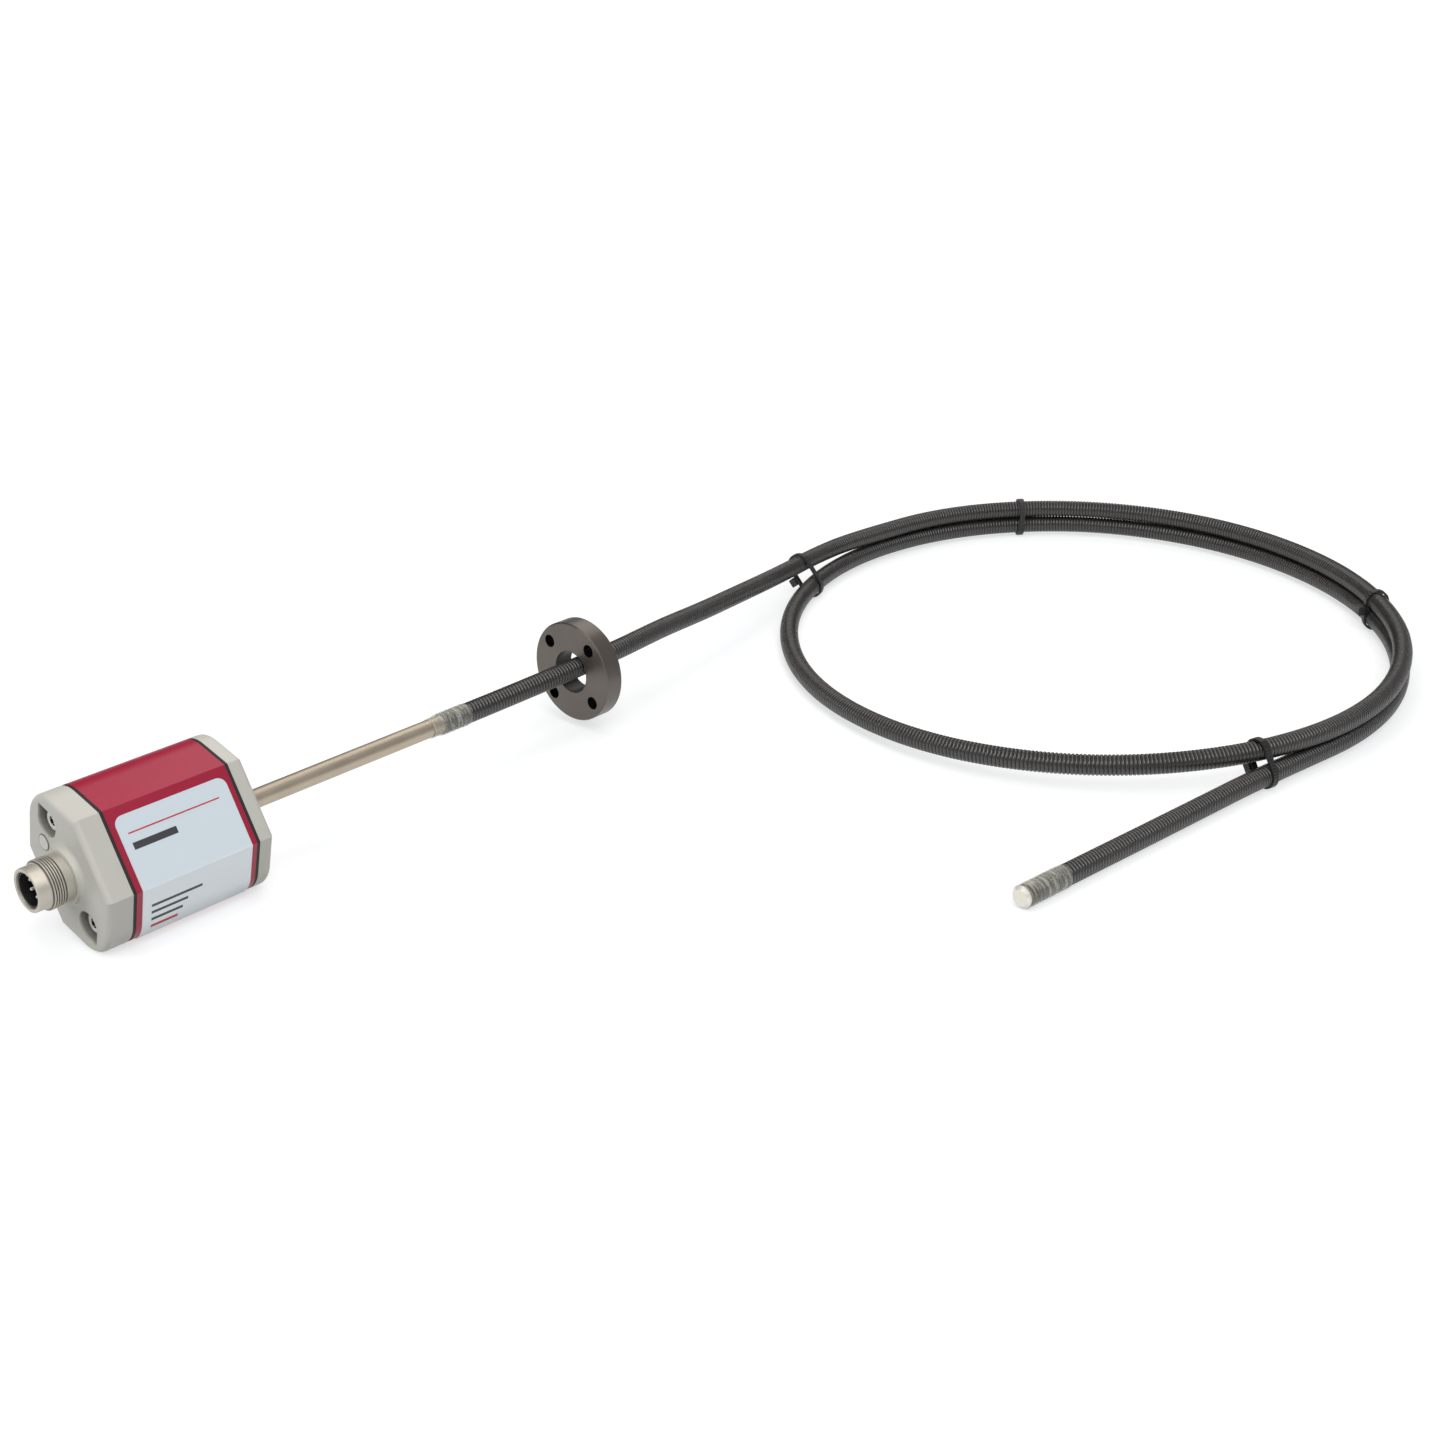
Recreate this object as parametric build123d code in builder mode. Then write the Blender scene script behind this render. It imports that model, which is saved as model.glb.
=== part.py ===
from build123d import *
import os
from math import cos, sin, tan, radians, pi

# Magnetostrictive position sensor with a flexible measuring hose, in millimetres.
# The origin is the centre of the rear cover's rear face, on the rod's axis.
# +X runs from the electronics head towards the hose, +Z is up.

# Electronics head: six sides round the rod's axis, with two pointed, rounded ends
head_flat = 17.25          # axis to each of the two wide flats
head_bevel = 21.4          # axis to each of the four sides between them
head_bevel_angle = 45      # those sides' slope
head_end_round = 12.0      # round on the two pointed ends
head_corner_round = 7.8    # round where a flat meets a bevel
head_roll = 59.0           # how far the long way of the head is turned up from +Y
rear_cover_length = 5.25
front_cover_length = 8.3
gasket_thickness = 1.15
gasket_set_in = 0.12       # how far a gasket's edge stays inside the covers' outline
shell_length = 42.6
shell_wall = 2.2
cover_wall = 3.6
cover_edge_round = 1.8
front_wall = 4.3           # what is left of the front cover ahead of its pocket

# Long screws that run through the head, and their channels
screw_pitch = 32.7
screw_turn = 2.75          # the screws' line is turned this far past the long way
screw_thread = 4.0
screw_shank = 3.5          # thinner than the thread, which is rolled on the tip only
screw_tip_inset = 0.4      # tips short of the rear face
screw_tip_chamfer = 0.5
screw_head = 7.0
screw_head_height = 4.0
screw_head_depth = 2.1     # head's top below the front face
screw_head_chamfer = 0.4
screw_socket = 3.0         # hexagon across flats
screw_socket_depth = 2.0
screw_clearance = 0.25
screw_recess = 9.4         # round part of the drop-shaped pocket for a screw's head
screw_channel_wall = 1.35
screw_pillar = 12.2        # round pads under the screws in cover and gaskets
screw_web = 1.0            # web from a channel to the pointed end, past the screw's head

# Round connector on the front
boss_diameter = 17.6
boss_height = 1.9
boss_blend = 1.7
connector_body = 12.9
connector_neck = 15.4
connector_neck_length = 1.15
connector_thread = 16.0
connector_thread_length = 6.0
connector_collar = 14.0
connector_collar_length = 4.3
connector_mouth = 11.6
connector_wall_bore = 9.8
connector_tail = 3.6       # how far the body stands past the front wall inside
connector_key = 1.2
pin_count = 5
pin_circle = 6.4
pin_diameter = 1.0
pin_recess = 2.6           # pins' tips below the mouth
insert_recess = 7.4        # insert's face below the mouth
insert_skirt = 0.7         # the insert's thin wall that lines the collar
insert_skirt_recess = 0.8  # that wall's edge below the mouth
insert_flange = 1.75
insert_tail = 1.0
pin_tail = 3.4
seal_width = 0.85
seal_depth = 1.0
nut_across_flats = 17.0
nut_thickness = 3.0
connector_rim_chamfer = 0.3
pin_round = 0.35

# Status window on the front face
lens_diameter = 5.5
lens_depth = 1.6
lens_proud = 0.25
lens_across = 11.0
lens_up = 6.9

# Wrap-round label on the shell
label_thickness = 0.25
label_margin = 1.9
label_top = 10.0           # along the long way, on the wide flat
label_bottom_gap = 0.9     # how far it stops short of the pointed end's middle
label_corner = 3.0

# Electronics inside
board_thickness = 1.6
board_width = 27.0
board_place = 9.5          # axis to a board's middle
board_rear_gap = 3.0       # from the shell's rear end to the boards
board_front_gap = 3.6      # from the shell's front end to the boards
board_corner = 1.5
spacer_diameter = 3.4
spacer_inset_long = 3.0    # from a board's ends
spacer_inset_wide = 3.5    # from its sides
chip_height = 1.8
chip_seat_gap = 0.02
header_width = 12.0
header_depth = 2.5
header_inset = 5.5
carrier_width = 14.0
carrier_top = 4.5          # above the axis
carrier_rear = 14.0        # from the rear face to the carrier's rear end
carrier_gap = 1.25         # from the damper to the header
bobbin_diameter = 6.4
bobbin_share = 0.45        # bobbin's length as a share of the carrier's
bobbin_inset_share = 0.15  # from the carrier's rear end
bobbin_flange = 0.8
bobbin_core = 3.6
winding_inset = 0.3
bias_share = 0.2           # bias magnet's length as a share of the carrier's
bias_width = 6.0
bias_height = 2.4
bias_floor = 1.2           # above the axis
bias_inset_share = 0.075   # from the carrier's front end
damper_width = 5.0
damper_length = 3.4
ribbon_thickness = 0.3
ribbon_width = 7.0
ribbon_gap = 0.3           # under the main board
ribbon_reach = 2.5         # how far it runs under the board
ribbon_bend = 1.0

# Rod, and what runs inside it
rod_diameter = 6.35
rod_wall = 0.6
rod_end = 85.5             # where the hose begins
rod_root = 11.0            # how far the rod reaches into the head
rod_fit = 0.02
clamp_ring_diameter = 11.0
clamp_ring_length = 4.0
clamp_ring_chamfer = 0.4
rod_seal_diameter = 9.2
rod_seal_depth = 1.8
guide_sleeve_diameter = 2.6
guide_sleeve_bore = 1.2
waveguide_diameter = 0.8
return_diameter = 0.9
return_offset = 2.0
return_head = 12.5
wire_end_gap = 0.3
wire_clearance = 0.1

# Clear shrink sleeve over the joint of rod and hose
sleeve_start = 80.5
sleeve_end = 97.5
sleeve_thickness = 0.35
sleeve_taper = 3.0
sleeve_gap = 0.03

# Flexible hose: lead, coil of two strands, tail
hose_diameter = 7.4
strand_rise = 7.46         # upper strand above the lower one
strand_contact = 1.6       # thickness of the bridge between two pressed strands
coil_middle = (346.8, -94.7)
coil_long = 135.8
coil_short = 120.9
coil_turn = 32.8           # the long way of the coil, from +X
coil_steps = 12            # points of the route in one turn
coil_start = 45            # the double stretch runs from here, clockwise
coil_end = -135

# Cable ties
tie_band = 0.9
tie_width = 2.4
tie_gap = 0.25
tie_lock = 3.6
tie_lock_depth = 2.8
tie_lock_round = 0.5
left_tie_run = 9           # the lead's run that the left tie holds
front_tie_run = 37.2       # front tie from the end of the double stretch, on the tail
front_tie_share = 0.56     # and on the falling strand, as a share of its first bend

# Closed tip of the hose
tip_length = 6.0
tip_chamfer = 0.9
tip_sleeve_length = 19.5
tip_sleeve_inset = 1.4     # sleeve's end short of the tip

# Ring magnet
magnet_diameter = 37.6
magnet_thickness = 7.8
magnet_bore = 15.8
magnet_hole = 4.7
magnet_hole_rim = 4.55     # from the outer edge to the holes' circle
magnet_hole_count = 4
magnet_hole_turn = 41.0
magnet_edge = 0.5
magnet_front = 150.6
magnet_lean = (2.9, -1.9)

# Stations along the rod's axis
boss_margin = 1.0          # how far trimming solids reach past what they trim
shell_rear = -(rear_cover_length + gasket_thickness)
shell_front = shell_rear - shell_length
cover_back = shell_front - gasket_thickness
face = cover_back - front_cover_length
pocket_floor = face + front_wall
boss_face = face - boss_height
neck_end = boss_face - connector_neck_length
thread_end = neck_end - connector_thread_length
mouth = thread_end - connector_collar_length
pin_tip = mouth + pin_recess
insert_face = mouth + insert_recess
insert_seat = insert_face + insert_flange
connector_back = pocket_floor + connector_tail
screw_top = face + screw_head_depth
screw_seat = screw_top + screw_head_height

# Lengths inside the head that follow from the shell
board_rear = shell_rear - board_rear_gap
board_front = shell_front + board_front_gap
board_length = board_rear - board_front
header_place = board_front + header_inset
carrier_front = header_place + header_depth / 2 + carrier_gap + damper_length
carrier_length = -carrier_rear - carrier_front
bobbin_length = carrier_length * bobbin_share
bias_length = carrier_length * bias_share

# Heights: the head rests on its lower rounded end, the coil on its ties
bevel_reach = 1 / sin(radians(head_bevel_angle))
end_centre = (head_bevel - head_end_round) * bevel_reach
floor = -(end_centre * sin(radians(head_roll)) + head_end_round)
hose_radius = hose_diameter / 2
low_strand = floor + tie_band + tie_gap + hose_radius
high_strand = low_strand + strand_rise

# The route of the hose where it isn't coiled, points chosen by hand
lead_points = [
    (85.5, 0, 0),
    (108, 0, 0),
    (140, 0.3, 0.25),
    (172, 1.1, 0.5),
    (187, 3.4, 0),
    (205, 7, -1.2),
    (230, 10.4, -2.9),
    (252, 14.5, -4.4),
    (274, 19, -6.2),
    (300, 26.2, -9.2),
    (327, 32.6, -11),
]
lead_join = 0.09           # last bend of the lead, as a share of the coil's side
tail_join = 1.08           # first bend of the tail, as a share of the coil's side
tail_points = [
    (240, -208.6, -18.85),
    (213, -205.5, -19.05),
    (191, -202.9, -19.2),
    (172, -200.7, -19.3),
]
tip_centre = (147.5, -198, -19.35)

# Heights of the single strand on its way from the upper to the lower level
falling_heights = [high_strand, -13.6, -16.8, -19.0, -18.7, low_strand]


def export(piece, name):
    """Label a finished piece and write it under its own name."""
    piece.part.label = name
    export_step(piece.part, f"parts/{name}.step")


def across(x, u, v):
    """A point of the head: station, along the long way, towards the label's flat."""
    c = cos(radians(head_roll))
    s = sin(radians(head_roll))
    return (x, u * c - v * s, u * s + v * c)


def head_plane(x, u=0.0, v=0.0):
    """Cross plane of the head, local X along its long way, local Z along +X."""
    long_way = (0, cos(radians(head_roll)), sin(radians(head_roll)))
    return Plane(origin=across(x, u, v), x_dir=long_way, z_dir=(1, 0, 0))


def head_section(x, inset=0.0):
    """The head's outline at a station, drawn in all round by the inset."""
    bevel = head_bevel - inset
    flat = head_flat - inset
    point = bevel * bevel_reach
    shoulder = point - flat / tan(radians(head_bevel_angle))
    with BuildSketch(head_plane(x)) as section:
        with BuildLine():
            Polyline(
                (point, 0),
                (shoulder, flat),
                (-shoulder, flat),
                (-point, 0),
                (-shoulder, -flat),
                (shoulder, -flat),
                close=True,
            )
        make_face()
        corners = section.vertices().filter_by(lambda vertex: abs(vertex.Y) > flat / 2)
        ends = section.vertices().filter_by(lambda vertex: abs(vertex.Y) < flat / 2)
        fillet(ends, head_end_round - inset)
        fillet(corners, head_corner_round - inset)
    return section.sketch


def screw_planes(x):
    """The two screws' places at a station, looking out of the front, local X outwards."""
    turn = radians(head_roll + screw_turn)
    planes = []
    for side in (1, -1):
        outward = Vector(0, side * cos(turn), side * sin(turn))
        place = Vector(x, 0, 0) + outward * (screw_pitch / 2)
        planes.append(Plane(origin=place, x_dir=outward, z_dir=(-1, 0, 0)))
    return planes


def axis_plane(x):
    """Plane across the rod's axis, looking out of the front."""
    return Plane(origin=(x, 0, 0), x_dir=(0, -1, 0), z_dir=(-1, 0, 0))


def bend_radii(points):
    """Radius at each corner of a route, as large as its two runs allow."""
    radii = []
    for before, corner, after in zip(points, points[1:], points[2:]):
        first = Vector(*corner) - Vector(*before)
        second = Vector(*after) - Vector(*corner)
        turn = radians(first.get_angle(second))
        radii.append(0.45 * min(first.length, second.length) / tan(turn / 2))
    return radii


def coil_point(angle, height, spread=1.0):
    """A point of the coil's ellipse at a height; a spread above 1 lies outside it."""
    along = coil_long * spread * cos(radians(angle))
    aside = coil_short * spread * sin(radians(angle))
    c = cos(radians(coil_turn))
    s = sin(radians(coil_turn))
    return (
        coil_middle[0] + along * c - aside * s,
        coil_middle[1] + along * s + aside * c,
        height,
    )


def between(first, second, share):
    """A point on the line of a run, at a share of its length."""
    return tuple(a + (b - a) * share for a, b in zip(first, second))


# The coil's route turns about a polygon that the hose touches in the middle of each side
coil_step = 360 / coil_steps
coil_spread = 1 / cos(radians(coil_step / 2))
half_step = coil_step / 2

# Front cover: a thick plate with a rounded front edge, a boss for the connector,
# a drop-shaped pocket for each screw's head and one large pocket at the back
with BuildPart() as front_cover:
    extrude(head_section(cover_back), amount=-front_cover_length)
    fillet(front_cover.faces().sort_by(Axis.X)[0].edges(), cover_edge_round)
    with BuildSketch(axis_plane(face)):
        Circle(boss_diameter / 2)
    extrude(amount=boss_height)
    foot = front_cover.edges().filter_by(GeomType.CIRCLE)
    foot = foot.filter_by(lambda edge: abs(edge.radius - boss_diameter / 2) < 0.01)
    fillet(foot.sort_by(Axis.X)[-1], boss_blend)
    pocket = head_section(cover_back, cover_wall)
    extrude(pocket, amount=pocket_floor - cover_back, mode=Mode.SUBTRACT)
    with BuildSketch(*screw_planes(cover_back)):
        Circle(screw_pillar / 2)
    extrude(amount=cover_back - pocket_floor)
    outline = head_section(cover_back + boss_margin)
    extrude(outline, amount=boss_face - cover_back - 2 * boss_margin, mode=Mode.INTERSECT)
    with Locations(axis_plane(boss_face)):
        Hole(connector_body / 2 + rod_fit)
        Hole(connector_body / 2 + rod_fit + seal_width, depth=seal_depth)
    with BuildSketch(*screw_planes(face)):
        Circle(screw_recess / 2)
        corner = screw_recess / 2
        Rectangle(corner, corner, rotation=-45, align=(Align.MIN, Align.MIN))
    extrude(amount=face - screw_seat, mode=Mode.SUBTRACT)
    with Locations(*screw_planes(face)):
        Hole(screw_thread / 2 + screw_clearance)
    with Locations(Plane(origin=(face, lens_across, lens_up), z_dir=(-1, 0, 0))):
        Hole(lens_diameter / 2 + rod_fit, depth=lens_depth)
export(front_cover, "front_cover")

# Rear cover: a plate with a rounded rear edge, the rod's bore with a seal recess, and the
# holes that the long screws' threads go into
with BuildPart() as rear_cover:
    extrude(head_section(-rear_cover_length), amount=rear_cover_length)
    fillet(rear_cover.faces().sort_by(Axis.X)[-1].edges(), cover_edge_round)
    with Locations(axis_plane(-rear_cover_length)):
        Hole(rod_diameter / 2 + rod_fit, depth=rear_cover_length)
        Hole(rod_seal_diameter / 2, depth=rod_seal_depth)
    with Locations(*screw_planes(-rear_cover_length)):
        Hole(screw_thread / 2 + rod_fit, depth=rear_cover_length)
export(rear_cover, "rear_cover")

# Housing shell: an extrusion, open at both ends, with a closed channel for each screw
with BuildPart() as housing_shell:
    extrude(head_section(shell_front), amount=shell_length)
    extrude(head_section(shell_front, shell_wall), amount=shell_length, mode=Mode.SUBTRACT)
    with BuildSketch(*screw_planes(shell_rear)):
        Circle(screw_thread / 2 + screw_clearance + screw_channel_wall)
    extrude(amount=shell_length)
    with BuildSketch(head_plane(shell_front)):
        for side in (1, -1):
            with Locations((side * (screw_pitch / 2 + screw_head / 2 + screw_web), 0)):
                Rectangle(screw_head, 2 * screw_channel_wall)
    extrude(amount=shell_length)
    extrude(head_section(shell_front), amount=shell_length, mode=Mode.INTERSECT)
    with Locations(*screw_planes(shell_front)):
        Hole(screw_thread / 2 + screw_clearance, depth=shell_length)
export(housing_shell, "housing_shell")

# Gaskets: flat rings between each cover and the shell, holed for the screws
for gasket_name, gasket_start in (("front_gasket", cover_back), ("rear_gasket", shell_rear)):
    with BuildPart() as gasket:
        extrude(head_section(gasket_start, gasket_set_in), amount=gasket_thickness)
        inner = head_section(gasket_start, cover_wall)
        extrude(inner, amount=gasket_thickness, mode=Mode.SUBTRACT)
        with BuildSketch(*screw_planes(gasket_start + gasket_thickness)):
            Circle(screw_pillar / 2)
        extrude(amount=gasket_thickness)
        outer = head_section(gasket_start, gasket_set_in)
        extrude(outer, amount=gasket_thickness, mode=Mode.INTERSECT)
        with Locations(*screw_planes(gasket_start)):
            Hole(screw_thread / 2 + screw_clearance, depth=gasket_thickness)
    export(gasket, gasket_name)

# Label: a thin skin over the wide flat on the near side and the bevel below it
label_length = shell_length - 2 * label_margin
with BuildPart() as label_wrap:
    label_start = shell_front + label_margin
    extrude(head_section(label_start, -rod_fit - label_thickness), amount=label_length)
    extrude(head_section(label_start, -rod_fit), amount=label_length, mode=Mode.SUBTRACT)
    with BuildSketch(head_plane(label_start)):
        with Locations((label_top, label_bottom_gap)):
            Rectangle(2 * head_bevel + label_top, head_bevel, align=(Align.MAX, Align.MIN))
    extrude(amount=label_length, mode=Mode.INTERSECT)
    top_edges = label_wrap.edges().filter_by(Axis((0, 0, 0), across(0, 0, 1)))
    fillet(top_edges.filter_by(lambda edge: edge.length < 2 * label_thickness), label_corner)
export(label_wrap, "label_wrap")

# Long socket-head screws, one solid each: a thin shank through the head and a thicker
# threaded tip in the rear cover
with BuildPart() as cover_screws:
    with BuildSketch(*screw_planes(screw_seat)):
        Circle(screw_head / 2)
    extrude(amount=screw_head_height)
    rims = cover_screws.edges().filter_by(GeomType.CIRCLE).group_by(Axis.X)[0]
    chamfer(rims, screw_head_chamfer)
    with BuildSketch(*screw_planes(screw_top)):
        RegularPolygon(screw_socket / 2, 6, major_radius=False)
    extrude(amount=-screw_socket_depth, mode=Mode.SUBTRACT)
    with BuildSketch(*screw_planes(screw_seat)):
        Circle(screw_shank / 2)
    extrude(amount=screw_seat + rear_cover_length)
    with BuildSketch(*screw_planes(-rear_cover_length)):
        Circle(screw_thread / 2)
    extrude(amount=screw_tip_inset - rear_cover_length)
    tips = cover_screws.edges().filter_by(GeomType.CIRCLE).group_by(Axis.X)[-1]
    chamfer(tips, screw_tip_chamfer)
export(cover_screws, "cover_screws")

# Status window: a clear disc set into the front face
with BuildPart() as status_lens:
    with BuildSketch(Plane(origin=(face + lens_depth, lens_across, lens_up), z_dir=(-1, 0, 0))):
        Circle(lens_diameter / 2)
    extrude(amount=lens_depth + lens_proud)
    fillet(status_lens.edges().group_by(Axis.X)[0], lens_proud * 0.8)
export(status_lens, "status_lens")

# Connector shell: body through the boss, neck, threaded length and open collar
with BuildPart() as connector_shell:
    with BuildSketch(Plane.XY):
        with BuildLine():
            Polyline(
                (connector_back, connector_wall_bore / 2),
                (connector_back, connector_body / 2),
                (boss_face, connector_body / 2),
                (boss_face, connector_neck / 2),
                (neck_end, connector_neck / 2),
                (neck_end, connector_thread / 2),
                (thread_end, connector_thread / 2),
                (thread_end, connector_collar / 2),
                (mouth, connector_collar / 2),
                (mouth, connector_mouth / 2),
                (insert_seat, connector_mouth / 2),
                (insert_seat, connector_wall_bore / 2),
                close=True,
            )
        make_face()
    revolve(axis=Axis.X)
    rim = connector_shell.edges().filter_by(GeomType.CIRCLE).group_by(Axis.X)[0]
    chamfer(rim, connector_rim_chamfer)
export(connector_shell, "connector_shell")

# Connector insert: a stepped plug with one hole for each pin, a thin wall that lines the
# collar and a key on its inside
pin_places = [(0, 0)]
for index in range(pin_count):
    pin_angle = radians(90 + 60 * (index - (pin_count - 1) / 2 + 3))
    pin_places.append((pin_circle / 2 * cos(pin_angle), pin_circle / 2 * sin(pin_angle)))
with BuildPart() as connector_insert:
    with BuildSketch(axis_plane(connector_back + insert_tail)):
        Circle(connector_wall_bore / 2 - rod_fit)
    extrude(amount=connector_back + insert_tail - insert_face)
    with BuildSketch(axis_plane(insert_seat)):
        Circle(connector_mouth / 2 - rod_fit)
    extrude(amount=insert_flange)
    with BuildSketch(axis_plane(insert_face)):
        with Locations(*pin_places):
            Circle(pin_diameter / 2 + rod_fit)
    extrude(amount=insert_face - connector_back - insert_tail, mode=Mode.SUBTRACT)
    skirt_bore = connector_mouth / 2 - insert_skirt
    with BuildSketch(axis_plane(insert_face)):
        Circle(connector_mouth / 2 - rod_fit)
        Circle(skirt_bore, mode=Mode.SUBTRACT)
        with Locations((0, skirt_bore)):
            Rectangle(connector_key, connector_key)
    extrude(amount=insert_recess - insert_skirt_recess)
export(connector_insert, "connector_insert")

# Connector pins, one solid each, with rounded tips
with BuildPart() as connector_pins:
    with BuildSketch(axis_plane(connector_back + pin_tail)):
        with Locations(*pin_places):
            Circle(pin_diameter / 2)
    extrude(amount=connector_back + pin_tail - pin_tip)
    tips = connector_pins.edges().filter_by(GeomType.CIRCLE).group_by(Axis.X)[0]
    fillet(tips, pin_round)
export(connector_pins, "connector_pins")

# Connector seal: a ring in the boss, under the connector's neck
with BuildPart() as connector_seal:
    with BuildSketch(axis_plane(boss_face + seal_depth)):
        Circle(connector_body / 2 + rod_fit + seal_width)
        Circle(connector_body / 2 + rod_fit, mode=Mode.SUBTRACT)
    extrude(amount=seal_depth)
export(connector_seal, "connector_seal")

# Lock nut that holds the connector from inside the cover
with BuildPart() as connector_lock_nut:
    with BuildSketch(axis_plane(pocket_floor + nut_thickness)):
        RegularPolygon(nut_across_flats / 2, 6, major_radius=False)
        Circle(connector_body / 2 + rod_fit, mode=Mode.SUBTRACT)
    extrude(amount=nut_thickness)
export(connector_lock_nut, "connector_lock_nut")

# Circuit boards, parallel to the label's flat, one each side of the axis
board_middle = (board_rear + board_front) / 2
for board_name, side in (("main_board", 1), ("interface_board", -1)):
    with BuildPart() as board:
        with BuildSketch(head_plane(board_rear, 0, side * board_place)):
            Rectangle(board_width, board_thickness)
        extrude(amount=-board_length)
        long_edges = board.edges().filter_by(Axis((0, 0, 0), across(0, 0, 1)))
        fillet(long_edges, board_corner)
    export(board, board_name)

# Spacers between the boards
board_inside = board_place - board_thickness / 2
spacer_plane = Plane(
    origin=across(board_middle, 0, -board_inside),
    x_dir=(1, 0, 0),
    z_dir=across(0, 0, 1),
)
spacer_long = board_length - 2 * spacer_inset_long
spacer_wide = board_width - 2 * spacer_inset_wide
with BuildPart() as board_spacers:
    with BuildSketch(spacer_plane):
        with GridLocations(spacer_long, spacer_wide, 2, 2):
            Circle(spacer_diameter / 2)
    extrude(amount=2 * board_inside)
export(board_spacers, "board_spacers")

# Chips on the outer faces of both boards, one solid each
chip_sizes = [(-9, 0, 10, 10), (4, 5, 7, 5), (4, -5, 6, 6), (12, 0, 4, 9)]
with BuildPart() as board_parts:
    for side in (1, -1):
        outer_face = Plane(
            origin=across(board_middle, 0, side * (board_place + board_thickness / 2 + chip_seat_gap)),
            x_dir=(1, 0, 0),
            z_dir=across(0, 0, side),
        )
        with BuildSketch(outer_face):
            for chip_x, chip_y, chip_long, chip_wide in chip_sizes:
                with Locations((chip_x, chip_y)):
                    Rectangle(chip_long, chip_wide)
        extrude(amount=chip_height)
export(board_parts, "board_parts")

# Header that joins the two boards
with BuildPart() as board_header:
    with BuildSketch(spacer_plane):
        with Locations((header_place - board_middle, 0)):
            Rectangle(header_depth, header_width)
    extrude(amount=2 * board_inside)
export(board_header, "board_header")

# Ribbon from the connector's tail, bent round to run under the main board
ribbon_start = connector_back + pin_tail + ribbon_thickness
ribbon_level = board_inside - ribbon_gap - ribbon_thickness / 2
with BuildPart() as signal_ribbon:
    with BuildSketch(Plane(origin=(0, 0, 0), x_dir=(1, 0, 0), z_dir=across(0, -1, 0))):
        with BuildLine():
            FilletPolyline(
                (ribbon_start, -ribbon_width / 2),
                (ribbon_start, ribbon_level),
                (board_front + ribbon_reach, ribbon_level),
                radius=ribbon_bend,
            )
        trace(line_width=ribbon_thickness)
    extrude(amount=ribbon_width / 2, both=True)
export(signal_ribbon, "signal_ribbon")

# Carrier that holds the pick-up on the axis, standing on the interface board,
# open above the bobbin and above the bias magnet
bobbin_middle = -carrier_rear - carrier_length * bobbin_inset_share - bobbin_length / 2
bias_middle = carrier_front + carrier_length * bias_inset_share + bias_length / 2
with BuildPart() as pickup_carrier:
    with BuildSketch(head_plane(-carrier_rear, 0, -board_inside)):
        Rectangle(carrier_width, board_inside + carrier_top, align=(Align.CENTER, Align.MIN))
    extrude(amount=-carrier_length)
    with BuildSketch(head_plane(bobbin_middle, 0, -bobbin_diameter / 2 - rod_fit)):
        Rectangle(bobbin_diameter + 2 * rod_fit, carrier_width, align=(Align.CENTER, Align.MIN))
    extrude(amount=bobbin_length / 2 + rod_fit, both=True, mode=Mode.SUBTRACT)
    with BuildSketch(head_plane(bias_middle, 0, bias_floor)):
        Rectangle(bias_width + 2 * rod_fit, carrier_width, align=(Align.CENTER, Align.MIN))
    extrude(amount=bias_length / 2 + rod_fit, both=True, mode=Mode.SUBTRACT)
    with BuildSketch(head_plane(-carrier_rear)):
        Circle(waveguide_diameter / 2 + wire_clearance)
    extrude(amount=-carrier_length, mode=Mode.SUBTRACT)
export(pickup_carrier, "pickup_carrier")

# Bobbin and its winding round the waveguide
with BuildPart() as pickup_bobbin:
    with BuildSketch(head_plane(bobbin_middle)):
        Circle(bobbin_diameter / 2)
        Circle(waveguide_diameter / 2 + wire_clearance, mode=Mode.SUBTRACT)
    extrude(amount=bobbin_length / 2, both=True)
    with BuildSketch(head_plane(bobbin_middle)):
        Circle(bobbin_diameter)
        Circle(bobbin_core / 2, mode=Mode.SUBTRACT)
    extrude(amount=bobbin_length / 2 - bobbin_flange, both=True, mode=Mode.SUBTRACT)
export(pickup_bobbin, "pickup_bobbin")

with BuildPart() as pickup_coil:
    with BuildSketch(head_plane(bobbin_middle)):
        Circle(bobbin_diameter / 2 - winding_inset)
        Circle(bobbin_core / 2 + rod_fit, mode=Mode.SUBTRACT)
    extrude(amount=bobbin_length / 2 - bobbin_flange - rod_fit, both=True)
export(pickup_coil, "pickup_coil")

# Bias magnet in its pocket above the waveguide
with BuildPart() as bias_magnet:
    with BuildSketch(head_plane(bias_middle, 0, bias_floor)):
        Rectangle(bias_width, bias_height, align=(Align.CENTER, Align.MIN))
    extrude(amount=bias_length / 2, both=True)
export(bias_magnet, "bias_magnet")

# Damper that holds the waveguide's head end, against the carrier's front
with BuildPart() as waveguide_damper:
    with BuildSketch(head_plane(carrier_front)):
        Rectangle(damper_width, damper_width)
        Circle(waveguide_diameter / 2 + rod_fit, mode=Mode.SUBTRACT)
    extrude(amount=-damper_length)
export(waveguide_damper, "waveguide_damper")

# Waveguide, its guide sleeve and the return wire, from the head to the rod's end
inner_end = rod_end - wire_end_gap
with BuildPart() as waveguide_wire:
    with BuildSketch(head_plane(carrier_front - damper_length)):
        Circle(waveguide_diameter / 2)
    extrude(amount=inner_end - carrier_front + damper_length)
export(waveguide_wire, "waveguide_wire")

with BuildPart() as waveguide_sleeve:
    with BuildSketch(head_plane(-carrier_rear + rod_fit)):
        Circle(guide_sleeve_diameter / 2)
        Circle(guide_sleeve_bore / 2, mode=Mode.SUBTRACT)
    extrude(amount=inner_end + carrier_rear - rod_fit)
export(waveguide_sleeve, "waveguide_sleeve")

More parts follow.
